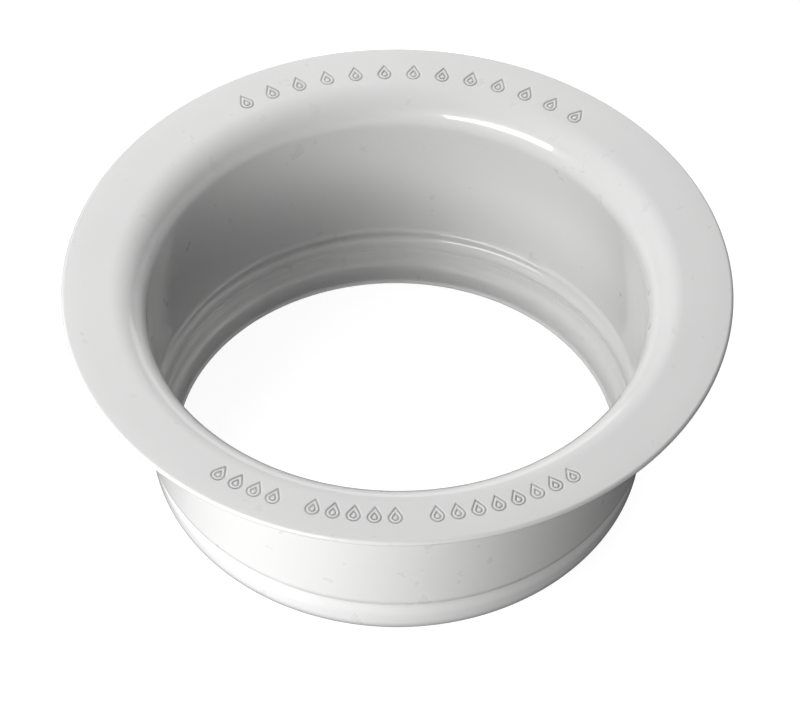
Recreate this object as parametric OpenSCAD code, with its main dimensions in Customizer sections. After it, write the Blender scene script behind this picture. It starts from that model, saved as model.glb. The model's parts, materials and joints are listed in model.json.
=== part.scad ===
// Sink flange of a kitchen food-waste disposal.
// One round sheet-metal pressing: a flat rim that lies on the sink, a sleeve that passes down through
// the drain hole, a rolled groove for the snap ring and a bottom edge that is turned inwards.
// +Z is up. The origin is on the axis, level with the lowest point of the bottom edge.

/* [Sheet] */
// Thickness of the enamelled sheet
sheet_t = 1.2; // [0.8:0.05:1.6]

/* [Rim] */
// Width of the rim, from the line of the sleeve's outside to the rim's edge
rim_w = 13.05; // [11:0.05:20]
// Radius of the upper surface where the rim bends down into the sleeve
bend_r = 6; // [4:0.1:9]

/* [Sleeve] */
// Outside diameter of the sleeve
sleeve_d = 88.2; // [60:0.1:120]
// Depth of the straight wall, from the end of the bend to the start of the groove
wall_h = 25.3; // [16:0.1:40]

/* [Snap-ring groove] */
// Depth of the groove below the sleeve's outside
groove_depth = 1.6; // [0.8:0.1:2]
// Radius of each roll of the groove, to the middle of the sheet
groove_r = 2.2; // [1.4:0.1:3]
// How far the lip under the groove stands out from the groove's floor
lip_rise = 0.6; // [0.2:0.1:1.6]

/* [Bottom lip] */
// Length of the straight lip between the groove and the turned-in edge
lip_h = 1.1; // [0.2:0.1:4]
// Outside radius of the turned-in edge
turn_r = 4.5; // [3:0.1:6]
// How far the edge turns inwards, in degrees from straight down
turn_angle = 77; // [40:1:85]

/* [Stamped marks] */
// Height of a drop mark, along the radius
mark_h = 3.7; // [2:0.1:5]
// Width of a stamped line
mark_line = 0.3; // [0.2:0.05:0.5]
// Depth of a stamped line
mark_depth = 0.2; // [0.1:0.05:0.4]
// Distance of the middle of the marks from the end of the bend
mark_gap = 2.3; // [0.5:0.1:3]
// Marks in the row at the back of the rim
back_marks = 13; // [1:1:16]
// Angle from one mark to the next at the back, in degrees
back_pitch = 5.8; // [4:0.1:8]
// How far the middle of the back row is turned towards +X, in degrees
back_turn = 3; // [-10:0.5:10]
// Angle from one mark to the next at the front, in degrees
front_pitch = 3.8; // [3:0.1:6]
// Marks in each group at the front of the rim
front_groups = [4, 5, 8]; // [1:1:8]

/* [Hidden] */
$fn = 180;
// Step along a rolled arc of the section, in degrees.
arc_step = 5;
// A drop's belly radius as a share of its height, and the inner drop's size as a share of the outer one's.
belly = 0.34;
inner_drop = 0.5;

half_t = sheet_t / 2;
sleeve_r = sleeve_d / 2;
rim_r = sleeve_r + rim_w;
wall_mid = sleeve_r - half_t;
bend_centre = sleeve_r - sheet_t + bend_r;

// Each side of the groove is two equal rolls, one each way, so a side of radius r that moves the sheet
// sideways by s turns through this angle and back, and is this tall.
function roll_angle(s, r) = acos(1 - s / (2 * r));
function roll_height(s, r) = 2 * r * sin(roll_angle(s, r));

groove_mid = wall_mid - groove_depth;
lip_mid = groove_mid + lip_rise;
upper_a = roll_angle(groove_depth, groove_r);
lower_a = roll_angle(lip_rise, groove_r);
upper_h = roll_height(groove_depth, groove_r);
lower_h = roll_height(lip_rise, groove_r);

turn_mid = turn_r - half_t;
turn_centre = lip_mid - turn_mid;
turn_drop = max(turn_r * sin(turn_angle), turn_mid * sin(turn_angle) + half_t);

turn_z = turn_drop;
lip_top_z = turn_z + lip_h;
groove_z = lip_top_z + lower_h;
wall_z = groove_z + upper_h;
bend_z = wall_z + wall_h;
top_z = bend_z + bend_r;

// Points along an arc, with both ends unless inner_only is set.
function arc(centre, r, a0, a1, inner_only = false) =
    let (n = ceil(abs(a1 - a0) / arc_step), first = inner_only ? 1 : 0)
        [for (i = [first : n - first])
            let (a = a0 + (a1 - a0) * i / n) centre + r * [cos(a), sin(a)]];

function reversed(v) = [for (i = [len(v) - 1 : -1 : 0]) v[i]];

// The sheet's rolls in order from the rim down. Each is the centre of the roll, the radius to the middle
// of the sheet, the first and last angle, and the side of the sheet that the centre lies on:
// 1 for the outside and underside, -1 for the inside.
rolls = [
    [[bend_centre, bend_z], bend_r - half_t, 90, 180, 1],
    [[wall_mid - groove_r, wall_z], groove_r, 0, -upper_a, -1],
    [[groove_mid + groove_r, groove_z], groove_r, 180 - upper_a, 180 + lower_a, 1],
    [[lip_mid - groove_r, lip_top_z], groove_r, lower_a, 0, -1],
    [[turn_centre, turn_z], turn_mid, 0, -turn_angle, -1]
];
rim_end = [rim_r - half_t, top_z - half_t];
lip_end = [turn_centre, turn_z] + turn_mid * [cos(turn_angle), -sin(turn_angle)];

// One surface of the sheet, as points from the rim down: k is 1 for the inside and the top of the rim,
// -1 for the outside and the underside of the rim.
function surface_line(k) = [for (q = rolls) each arc(q[0], q[1] + k * q[4] * half_t, q[2], q[3])];

// Half of the flange's section: one sheet of even thickness with rounded edges.
module section() {
    polygon(concat(
        arc(rim_end, half_t, -90, 90),
        surface_line(1),
        arc(lip_end, half_t, 180 - turn_angle, 360 - turn_angle, true),
        reversed(surface_line(-1))
    ));
}

// A drop with its point towards +Y: a round belly of radius r, centred on the origin, and two straight
// flanks that leave it without a corner and meet at the point, at the distance reach from the centre.
module drop(r, reach) {
    touch = asin(r / reach);
    circle(r);
    polygon([[-r * cos(touch), r * sin(touch)], [0, reach], [r * cos(touch), r * sin(touch)]]);
}

// The stamped line round a drop, with the drop's own outline as the line's outside.
module drop_line(r, reach) {
    inner_r = r - mark_line;
    difference() {
        drop(r, reach);
        drop(inner_r, reach * inner_r / r);
    }
}

// One stamped mark: a drop's line with the line of a smaller drop inside it.
module drop_mark() {
    r = belly * mark_h;
    reach = mark_h - r;
    translate([0, r - mark_h / 2]) {
        drop_line(r, reach);
        drop_line(inner_drop * r, inner_drop * reach);
    }
}

// A row of marks centred on the direction a, with their points towards the edge (up = 1) or the
// middle (up = -1). Each place in the list is a mark's distance along the row, in steps of pitch.
module mark_row(a, places, pitch, up) {
    middle = (min(places) + max(places)) / 2;
    mark_r = bend_centre + mark_gap;
    for (p = places)
        rotate(a + (p - middle) * pitch)
            translate([mark_r, 0])
                rotate(-90 * up)
                    drop_mark();
}

function group_start(g) = g == 0 ? 0 : group_start(g - 1) + front_groups[g - 1] + 1;
back_places = [for (i = [0 : back_marks - 1]) i];
front_places = [for (g = [0 : len(front_groups) - 1], i = [0 : front_groups[g] - 1]) group_start(g) + i];

module stamped_marks() {
    translate([0, 0, top_z - mark_depth])
        linear_extrude(mark_depth + 1) {
            mark_row(90 - back_turn, back_places, back_pitch, 1);
            mark_row(-90, front_places, front_pitch, -1);
        }
}

module sink_flange() {
    color("whitesmoke")
        difference() {
            rotate_extrude() section();
            stamped_marks();
        }
}

sink_flange();
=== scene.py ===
import json
import math

import bpy
from mathutils import Matrix, Vector


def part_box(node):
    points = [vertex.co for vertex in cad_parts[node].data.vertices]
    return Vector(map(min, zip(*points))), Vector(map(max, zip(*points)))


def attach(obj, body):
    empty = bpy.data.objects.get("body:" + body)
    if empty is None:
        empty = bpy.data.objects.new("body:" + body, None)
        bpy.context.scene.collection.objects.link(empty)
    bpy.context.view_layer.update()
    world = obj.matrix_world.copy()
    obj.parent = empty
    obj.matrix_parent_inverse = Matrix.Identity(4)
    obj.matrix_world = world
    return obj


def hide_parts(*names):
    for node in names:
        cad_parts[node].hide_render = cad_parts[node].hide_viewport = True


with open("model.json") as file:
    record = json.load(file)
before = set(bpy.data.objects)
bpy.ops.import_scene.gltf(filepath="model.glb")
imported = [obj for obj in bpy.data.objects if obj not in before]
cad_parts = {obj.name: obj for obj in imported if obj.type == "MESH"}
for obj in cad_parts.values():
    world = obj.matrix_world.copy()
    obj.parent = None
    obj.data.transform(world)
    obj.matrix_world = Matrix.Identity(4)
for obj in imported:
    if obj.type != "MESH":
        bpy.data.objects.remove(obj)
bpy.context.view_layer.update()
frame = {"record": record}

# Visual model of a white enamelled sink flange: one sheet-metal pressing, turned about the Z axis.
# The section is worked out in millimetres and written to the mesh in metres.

MM = 0.001
NODE = "sink_flange"
BODY = "root"


# ---------------------------------------------------------------------------------------------------
# Sizes, in millimetres and degrees
# ---------------------------------------------------------------------------------------------------

def mount(name):
    return next(m for m in frame["record"]["mounts"] if m["name"] == name)


low_corner, high_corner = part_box(NODE)
THROAT, SLEEVE, GROOVE = mount("throat"), mount("sleeve"), mount("snap_ring_groove")

INNER_R = THROAT["dims"]["r_mm"]
OUTER_R = SLEEVE["dims"]["r_mm"]
SHEET_T = OUTER_R - INNER_R
HALF_T = SHEET_T / 2
RIM_R = high_corner.x / MM
TOP_Z = high_corner.z / MM
WALL_Z = SLEEVE["pos_m"][2] / MM - SLEEVE["dims"]["length_mm"] / 2
BEND_Z = SLEEVE["pos_m"][2] / MM + SLEEVE["dims"]["length_mm"] / 2
BEND_R = TOP_Z - BEND_Z
BEND_CENTRE = INNER_R + BEND_R
WALL_MID = OUTER_R - HALF_T

# The snap-ring groove and the bottom lip.
GROOVE_Z = GROOVE["pos_m"][2] / MM
GROOVE_DEPTH = 1.6
GROOVE_R = 2.2
LIP_RISE = 0.6
LIP_H = 1.1
TURN_R = 4.5
TURN_ANGLE = 77

# The faint witness line that the drawing ring leaves on the bend: where it lies, as the tilt of the
# surface there from level, its depth and its half width.
WITNESS_TILT = 54
WITNESS_DEPTH = 0.012
WITNESS_W = 0.45

# The stamped drops.
MARK_H = 3.7
MARK_LINE = 0.3
MARK_DEPTH = 0.2
MARK_GAP = 2.3
MARK_R = BEND_CENTRE + MARK_GAP
BELLY = 0.34
INNER_DROP = 0.5
BACK_MARKS, BACK_PITCH, BACK_TURN = 13, 5.8, 3
FRONT_GROUPS, FRONT_PITCH = (4, 5, 8), 3.8

# The mesh.
COLUMNS = 360
FINE = 8
ARC_STEP = 4
BEND_STEP = 2
EDGE_STEP = 15
SAME_POINT = 0.001
# The band of the rim that holds the marks: its margin beside them, its rows, and every how many of those
# rows the mesh keeps away from the marks, on the flat and on the bend.
BAND_MARGIN = 0.3
BAND_ROWS = 36
KEEP_FLAT, KEEP_BEND = 6, 3
# How far the rounded edge of a stamped line reaches, in line widths from the line's middle.
LINE_REACH = 0.75
# No mark is wider than this on either side of its middle, in degrees.
MARK_HALF = 3


# ---------------------------------------------------------------------------------------------------
# The section
# ---------------------------------------------------------------------------------------------------

def roll_angle(shift, radius):
    """Turn of each of two equal rolls that together move the sheet sideways by shift."""
    return math.degrees(math.acos(1 - shift / (2 * radius)))


def roll_height(shift, radius):
    return 2 * radius * math.sin(math.radians(roll_angle(shift, radius)))


def polar(centre, radius, angle):
    a = math.radians(angle)
    return centre[0] + radius * math.cos(a), centre[1] + radius * math.sin(a)


def arc(centre, radius, start, end, step=ARC_STEP):
    n = math.ceil(abs(end - start) / step)
    return [polar(centre, radius, start + (end - start) * i / n) for i in range(n + 1)]


GROOVE_MID = WALL_MID - GROOVE_DEPTH
LIP_MID = GROOVE_MID + LIP_RISE
UPPER_A = roll_angle(GROOVE_DEPTH, GROOVE_R)
LOWER_A = roll_angle(LIP_RISE, GROOVE_R)
LIP_TOP_Z = GROOVE_Z - roll_height(LIP_RISE, GROOVE_R)
TURN_Z = LIP_TOP_Z - LIP_H
TURN_MID = TURN_R - HALF_T
TURN_CENTRE = (LIP_MID - TURN_MID, TURN_Z)

# The rolls under the bend, from the top down: centre, radius to the middle of the sheet, first and last
# angle, and the side that the centre lies on, 1 for the outside of the sleeve and -1 for its inside.
ROLLS = [
    ((WALL_MID - GROOVE_R, WALL_Z), GROOVE_R, 0, -UPPER_A, -1),
    ((GROOVE_MID + GROOVE_R, GROOVE_Z), GROOVE_R, 180 - UPPER_A, 180 + LOWER_A, 1),
    ((LIP_MID - GROOVE_R, LIP_TOP_Z), GROOVE_R, LOWER_A, 0, -1),
    (TURN_CENTRE, TURN_MID, 0, -TURN_ANGLE, -1),
]


def surface_line(side):
    """The sheet's surface under the bend: side is 1 for the inside of the sleeve, -1 for the outside."""
    return [p for centre, r, a0, a1, s in ROLLS for p in arc(centre, r + side * s * HALF_T, a0, a1)]


def witness(angle):
    """Depth of the witness line on the bend at an angle round the bend's centre."""
    along = math.radians(angle - 90 - WITNESS_TILT) * BEND_R
    return WITNESS_DEPTH * math.exp(-((along / WITNESS_W) ** 2))


def bend_point(angle):
    return polar((BEND_CENTRE, BEND_Z), BEND_R - witness(angle), angle)


def top_z(radius):
    """Height of the rim's upper surface at a distance from the axis, on the flat and the upper bend."""
    return BEND_Z + math.sqrt(BEND_R ** 2 - max(0.0, BEND_CENTRE - radius) ** 2)


BAND_OUT = MARK_R + MARK_H / 2 + BAND_MARGIN
BAND_IN = MARK_R - MARK_H / 2 - BAND_MARGIN


def section_rows():
    """The closed section as (r, z, kept): a row that isn't kept is used only under the stamped marks."""
    rim_end = (RIM_R - HALF_T, TOP_Z - HALF_T)
    lip_end = polar(TURN_CENTRE, TURN_MID, -TURN_ANGLE)
    rows = [(r, z, True) for r, z in arc(rim_end, HALF_T, -90, 90, EDGE_STEP)]
    step = (BAND_OUT - BAND_IN) / BAND_ROWS
    for i in range(BAND_ROWS + 1):
        r = BAND_OUT - i * step
        on_bend = r < BEND_CENTRE + step
        kept = i in (0, BAND_ROWS) or i % KEEP_FLAT == 0 or (on_bend and i % KEEP_BEND == 0)
        rows.append((r, top_z(r), kept))
    first = 90 + math.degrees(math.asin((BEND_CENTRE - BAND_IN) / BEND_R))
    n = math.ceil((180 - first) / BEND_STEP)
    rows += [(*bend_point(first + (180 - first) * i / n), True) for i in range(1, n + 1)]
    rows += [(r, z, True) for r, z in surface_line(1)]
    lip_edge = arc(lip_end, HALF_T, 180 - TURN_ANGLE, 360 - TURN_ANGLE, EDGE_STEP)
    rows += [(r, z, True) for r, z in lip_edge[1:-1]]
    rows += [(r, z, True) for r, z in reversed(surface_line(-1))]
    rows += [(r, z, True) for r, z in reversed(arc((BEND_CENTRE, BEND_Z), BEND_R - SHEET_T, 90, 180))]
    return [row for row, last in zip(rows, rows[-1:] + rows) if math.dist(row[:2], last[:2]) > SAME_POINT]


# ---------------------------------------------------------------------------------------------------
# The stamped marks
# ---------------------------------------------------------------------------------------------------

def mark_angles():
    """Direction of each mark, in degrees, and 1 if its point is towards the rim's edge, -1 if not."""
    back = [(90 - BACK_TURN + (i - (BACK_MARKS - 1) / 2) * BACK_PITCH, 1) for i in range(BACK_MARKS)]
    places, start = [], 0
    for count in FRONT_GROUPS:
        places += [start + i for i in range(count)]
        start += count + 1
    middle = (places[0] + places[-1]) / 2
    return back + [(-90 + (p - middle) * FRONT_PITCH, -1) for p in places]


MARKS = mark_angles()


def drop_distance(x, y, r, reach):
    """Distance from the outline of a drop, whose belly of radius r is centred on the origin and whose
    point is at (0, reach). It is negative inside."""
    x = abs(x)
    touch = math.asin(r / reach)
    nx, ny = math.cos(touch), math.sin(touch)
    along = -x * ny + y * nx
    if along < 0:
        return math.hypot(x, y) - r
    if along > math.sqrt(reach ** 2 - r ** 2):
        return math.hypot(x, y - reach)
    return x * nx + y * ny - r


def line_depth(distance):
    """Depth of a stamped line at a distance from its middle, with the enamel rounding its edges."""
    reach = MARK_LINE * LINE_REACH
    if abs(distance) >= reach:
        return 0.0
    return MARK_DEPTH * 0.5 * (1 + math.cos(math.pi * distance / reach))


def mark_depth(radius, angle):
    """Depth of the stamping at a place on the rim, given as a distance from the axis and a direction."""
    deepest = 0.0
    for direction, up in MARKS:
        turn = (angle - direction + 180) % 360 - 180
        if abs(turn) > MARK_HALF:
            continue
        a = math.radians(turn)
        out, across = radius * math.cos(a) - MARK_R, radius * math.sin(a)
        belly_r = BELLY * MARK_H
        y = up * out + MARK_H / 2 - belly_r
        for scale in (1, INNER_DROP):
            middle_r = belly_r * scale - MARK_LINE / 2
            reach = (MARK_H - belly_r) * middle_r / belly_r
            deepest = max(deepest, line_depth(drop_distance(across, y, middle_r, reach)))
    return deepest


def near_mark(column):
    """True if a mark reaches into this column of the mesh."""
    half = math.degrees((BELLY * MARK_H + BAND_MARGIN) / BAND_IN)
    step = 360 / COLUMNS
    middle = (column + 0.5) * step
    return any(abs((middle - d + 180) % 360 - 180) < half + step / 2 for d, _ in MARKS)


# ---------------------------------------------------------------------------------------------------
# The mesh
# ---------------------------------------------------------------------------------------------------

def flange_mesh():
    """The section turned about Z. Cells under the marks are divided FINE times across and at every row
    down; a cell beside them takes their points into its own edge, so the mesh stays closed."""
    rows = section_rows()
    count = len(rows)
    kept = [i for i, row in enumerate(rows) if row[2]]
    verts, stamp, index, faces = [], [], {}, []

    def vertex(row, step):
        row, step = row % count, step % (COLUMNS * FINE)
        if (row, step) not in index:
            r, z, _ = rows[row]
            angle = 360 * step / (COLUMNS * FINE)
            depth = mark_depth(r, angle) if BAND_IN < r < BAND_OUT and z > BEND_Z + BEND_R / 2 else 0.0
            z -= depth
            stamp.append(depth / MARK_DEPTH)
            index[row, step] = len(verts)
            verts.append((*(c * MM for c in polar((0, 0), r, angle)), z * MM))
        return index[row, step]

    fine_columns = [near_mark(c) for c in range(COLUMNS)]
    cells = [(kept[i], kept[i + 1] if i + 1 < len(kept) else count) for i in range(len(kept))]
    in_band = [rows[a][0] <= BAND_OUT + 1e-9 and rows[b % count][0] >= BAND_IN - 1e-9
               and rows[a][1] > BEND_Z + BEND_R / 2 and rows[b % count][1] > BEND_Z + BEND_R / 2
               for a, b in cells]
    for k, (a, b) in enumerate(cells):
        above, below = in_band[k - 1], in_band[(k + 1) % len(cells)]
        for c in range(COLUMNS):
            s0, s1 = c * FINE, (c + 1) * FINE
            fine = fine_columns[c]
            if in_band[k] and fine:
                for i in range(a, b):
                    for s in range(s0, s1):
                        corners = (i, s), (i, s + 1), (i + 1, s + 1), (i + 1, s)
                        faces.append(tuple(vertex(*corner) for corner in corners))
                continue
            top = range(s0, s1 + 1) if above and fine else (s0, s1)
            bottom = range(s0, s1 + 1) if below and fine else (s0, s1)
            left = range(a, b + 1) if in_band[k] and fine_columns[c - 1] else (a, b)
            right = range(a, b + 1) if in_band[k] and fine_columns[(c + 1) % COLUMNS] else (a, b)
            ring = [(a, s) for s in top] + [(i, s1) for i in right]
            ring += [(b, s) for s in reversed(bottom)] + [(i, s0) for i in reversed(left)]
            face = []
            for row, step in ring:
                v = vertex(row, step)
                if not face or face[-1] != v:
                    face.append(v)
            if face[0] == face[-1]:
                face.pop()
            faces.append(tuple(face))
    mesh = bpy.data.meshes.new(NODE + "_enamelled")
    mesh.from_pydata(verts, [], faces)
    mesh.attributes.new("stamp", "FLOAT", "POINT").data.foreach_set("value", stamp)
    mesh.polygons.foreach_set("use_smooth", [True] * len(mesh.polygons))
    mesh.update()
    return mesh


def make_flange():
    flange = bpy.data.objects.new("enamelled_flange", flange_mesh())
    bpy.context.collection.objects.link(flange)
    flange.data.materials.append(enamel_material())
    return flange


# ---------------------------------------------------------------------------------------------------
# Materials
# ---------------------------------------------------------------------------------------------------

# Sizes of the enamel's patterns, and of the noise in the painted shade of the stamped lines, as repeats in
# each metre.
CLOUD_SCALE, PINHOLE_SCALE, LINE_SHADE_SCALE = 28, 90, 300
ROUGH_SCALE, PEEL_SCALE, WAVE_SCALE = 240, 620, 70
# The enamel's two tones, the tone that pinholes go towards, and the painted shade tone that darkens the
# stamped lines.
ENAMEL_DARK, ENAMEL_LIGHT = (0.685, 0.686, 0.683, 1), (0.712, 0.711, 0.706, 1)
PINHOLE_TONE, LINE_SHADE_TONE = (0.35, 0.35, 0.34, 1), (0.2, 0.2, 0.195, 1)
# The share of cells that have no pinhole, and how strongly a pinhole darkens the enamel.
PLAIN_CELLS, PINHOLE_SHADE = 0.8, 0.4
# Roughness: lowest, highest, and what a stamped line adds.
ROUGH_LOW, ROUGH_HIGH, ROUGH_STAMP = 0.27, 0.36, 0.25
# Height of the orange peel in metres, and the waves and pits as multiples of it.
PEEL_HEIGHT, WAVE_SHARE, PIT_SHARE = 0.000006, 4.0, -0.4
# Noise is spread out from this range of its values.
NOISE_LOW, NOISE_HIGH = 0.3, 0.7


def new_material(name):
    material = bpy.data.materials.new(name)
    material.use_nodes = True
    nodes, links = material.node_tree.nodes, material.node_tree.links
    return material, nodes, links, nodes["Principled BSDF"]


def ranged(nodes, links, value, low, high, to_low, to_high):
    node = nodes.new("ShaderNodeMapRange")
    node.inputs["From Min"].default_value, node.inputs["From Max"].default_value = low, high
    node.inputs["To Min"].default_value, node.inputs["To Max"].default_value = to_low, to_high
    links.new(value, node.inputs["Value"])
    return node.outputs["Result"]


def noise(nodes, links, place, per_metre, detail):
    node = nodes.new("ShaderNodeTexNoise")
    node.inputs["Scale"].default_value = per_metre
    node.inputs["Detail"].default_value = detail
    links.new(place, node.inputs["Vector"])
    return node.outputs["Fac"]


def blend(nodes, links, factor, first, second):
    """A mix of two colours, each a tuple or an output. Inputs 6 and 7 of the node are its colours, and
    output 2 is the mixed colour."""
    node = nodes.new("ShaderNodeMix")
    node.data_type = "RGBA"
    links.new(factor, node.inputs["Factor"])
    for socket, colour in ((node.inputs[6], first), (node.inputs[7], second)):
        if isinstance(colour, tuple):
            socket.default_value = colour
        else:
            links.new(colour, socket)
    return node.outputs[2]


def math_node(nodes, links, operation, first, second):
    node = nodes.new("ShaderNodeMath")
    node.operation = operation
    links.new(first, node.inputs[0])
    if isinstance(second, float):
        node.inputs[1].default_value = second
    else:
        links.new(second, node.inputs[1])
    return node.outputs[0]


def enamel_material():
    """Fired white enamel: cloudy tone, sparse pinholes, stamped lines darkened with painted shade, and a
    faint orange peel under a clear, glossy surface."""
    material, nodes, links, shader = new_material("white enamel")
    place = nodes.new("ShaderNodeTexCoord").outputs["Object"]
    cloud = ranged(nodes, links, noise(nodes, links, place, CLOUD_SCALE, 3), NOISE_LOW, NOISE_HIGH, 0, 1)
    colour = blend(nodes, links, cloud, ENAMEL_DARK, ENAMEL_LIGHT)

    cells = nodes.new("ShaderNodeTexVoronoi")
    cells.inputs["Scale"].default_value = PINHOLE_SCALE
    links.new(place, cells.inputs["Vector"])
    pick = nodes.new("ShaderNodeSeparateColor")
    links.new(cells.outputs["Color"], pick.inputs["Color"])
    chosen = math_node(nodes, links, "GREATER_THAN", pick.outputs["Red"], PLAIN_CELLS)
    dot = ranged(nodes, links, cells.outputs["Distance"], 0.006, 0.014, 1, 0)
    pinhole = math_node(nodes, links, "MULTIPLY", dot, chosen)
    dark = math_node(nodes, links, "MULTIPLY", pinhole, PINHOLE_SHADE)
    colour = blend(nodes, links, dark, colour, PINHOLE_TONE)

    # Painted shade: each stamped line is darkened towards a shade tone, more where it is deeper and with a
    # noisy strength.
    stamp = nodes.new("ShaderNodeAttribute")
    stamp.attribute_name = "stamp"
    line_shade_noise = noise(nodes, links, place, LINE_SHADE_SCALE, 2)
    line_shade_noise = ranged(nodes, links, line_shade_noise, NOISE_LOW, NOISE_HIGH, 0.35, 0.75)
    shade = math_node(nodes, links, "MULTIPLY", stamp.outputs["Fac"], line_shade_noise)
    colour = blend(nodes, links, shade, colour, LINE_SHADE_TONE)
    links.new(colour, shader.inputs["Base Color"])

    rough = noise(nodes, links, place, ROUGH_SCALE, 3)
    rough = ranged(nodes, links, rough, NOISE_LOW, NOISE_HIGH, ROUGH_LOW, ROUGH_HIGH)
    added = math_node(nodes, links, "MULTIPLY", stamp.outputs["Fac"], ROUGH_STAMP)
    rough = math_node(nodes, links, "ADD", rough, added)
    links.new(rough, shader.inputs["Roughness"])
    shader.inputs["Coat Weight"].default_value = 1.0
    shader.inputs["Coat Roughness"].default_value = 0.04

    peel = noise(nodes, links, place, PEEL_SCALE, 2)
    wave = math_node(nodes, links, "MULTIPLY", noise(nodes, links, place, WAVE_SCALE, 1), WAVE_SHARE)
    pits = math_node(nodes, links, "MULTIPLY", pinhole, PIT_SHARE)
    height = math_node(nodes, links, "ADD", math_node(nodes, links, "ADD", peel, wave), pits)
    bump = nodes.new("ShaderNodeBump")
    bump.inputs["Strength"].default_value = 1.0
    bump.inputs["Distance"].default_value = PEEL_HEIGHT
    links.new(height, bump.inputs["Height"])
    links.new(bump.outputs["Normal"], shader.inputs["Normal"])
    links.new(bump.outputs["Normal"], shader.inputs["Coat Normal"])
    return material


def floor_material():
    """A white floor that also glows a little, so that the flange leaves only a faint shadow on it."""
    material, _, _, shader = new_material("pale floor")
    shader.inputs["Base Color"].default_value = (0.22, 0.22, 0.22, 1)
    shader.inputs["Roughness"].default_value = 1.0
    shader.inputs["Specular IOR Level"].default_value = 0.0
    shader.inputs["Emission Color"].default_value = (1, 1, 1, 1)
    shader.inputs["Emission Strength"].default_value = 0.92
    return material


# ---------------------------------------------------------------------------------------------------
# Floor, lights and camera
# ---------------------------------------------------------------------------------------------------

FLOOR_SIZE = 6.0
# The softboxes face this point.
AIM = Vector((0, 0, 0.024))
# The camera: its lens and sensor in millimetres, place, target, and roll in degrees.
LENS, SENSOR = 202.5, 36
CAMERA_PLACE, CAMERA_TARGET = Vector((0, -0.5193, 0.6046)), Vector((0.00054, 0, 0.024))
CAMERA_ROLL = 0.41


def make_floor():
    """The floor gives the flange no light and casts no shadow on it, so the low softboxes reach it."""
    half = FLOOR_SIZE / 2
    mesh = bpy.data.meshes.new("floor")
    corners = [(-half, -half, 0), (half, -half, 0), (half, half, 0), (-half, half, 0)]
    mesh.from_pydata(corners, [], [(0, 1, 2, 3)])
    floor = bpy.data.objects.new("floor", mesh)
    bpy.context.collection.objects.link(floor)
    mesh.materials.append(floor_material())
    floor.visible_diffuse = False
    floor.visible_glossy = False
    floor.visible_shadow = False


def softbox(name, azimuth, elevation, distance, width, height, radiance):
    """A rectangular area light that faces the flange. Azimuth 0 is along +X, and radiance is what the
    lamp's face shows."""
    a, e = math.radians(azimuth), math.radians(elevation)
    away = Vector((math.cos(a) * math.cos(e), math.sin(a) * math.cos(e), math.sin(e)))
    lamp = bpy.data.lights.new(name, "AREA")
    lamp.shape = "RECTANGLE"
    lamp.size, lamp.size_y = width, height
    lamp.energy = radiance * math.pi * width * height
    holder = bpy.data.objects.new(name, lamp)
    bpy.context.collection.objects.link(holder)
    holder.location = AIM + away * distance
    holder.rotation_euler = away.to_track_quat("Z", "Y").to_euler()
    return holder


# Each softbox: name, azimuth, elevation, distance, width, height, radiance, and whether it shows in the
# gloss. Those that don't are soft fill.
SOFTBOXES = [
    ("key", -131.5, 20, 0.60, 0.47, 0.14, 10.8, True),
    ("key_side", -97, 15, 0.60, 0.22, 0.22, 6.1, False),
    ("back", 88, 37, 0.62, 1.00, 0.30, 3.1, False),
    ("back_low", 82, 13, 0.60, 0.55, 0.20, 1.2, True),
    ("left_top", 160, 58, 0.66, 0.50, 0.30, 5.0, False),
    ("left_low", -155, -12, 0.60, 0.60, 0.36, 5.3, False),
    ("front_low", -80, -15, 0.64, 0.50, 0.30, 0.7, False),
    ("right_low", 0, -6, 0.60, 0.70, 0.24, 1.1, False),
]
# How bright the surroundings are as light on the flange, and as the backdrop in view.
WORLD_LIGHT, BACKDROP = 0.03, 0.95


def make_lights():
    for *box, in_gloss in SOFTBOXES:
        softbox(*box).visible_glossy = in_gloss
    world = bpy.data.worlds.new("world")
    world.use_nodes = True
    nodes, links = world.node_tree.nodes, world.node_tree.links
    seen = nodes.new("ShaderNodeLightPath").outputs["Is Camera Ray"]
    light = nodes["Background"].inputs["Strength"]
    links.new(ranged(nodes, links, seen, 0, 1, WORLD_LIGHT, BACKDROP), light)
    nodes["Background"].inputs["Color"].default_value = (1, 1, 1, 1)
    bpy.context.scene.world = world


def make_camera():
    data = bpy.data.cameras.new("camera")
    data.sensor_fit = "HORIZONTAL"
    data.sensor_width = SENSOR
    data.lens = LENS
    data.clip_start, data.clip_end = 0.05, 20
    camera = bpy.data.objects.new("camera", data)
    bpy.context.collection.objects.link(camera)
    camera.location = CAMERA_PLACE
    roll = Matrix.Rotation(math.radians(CAMERA_ROLL), 4, "Z")
    look = (CAMERA_PLACE - CAMERA_TARGET).to_track_quat("Z", "Y").to_matrix().to_4x4()
    camera.rotation_euler = (look @ roll).to_euler()
    bpy.context.scene.camera = camera


make_camera()
flange = make_flange()
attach(flange, BODY)
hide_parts(NODE)
make_floor()
make_lights()
bpy.context.scene.view_settings.view_transform = "Standard"
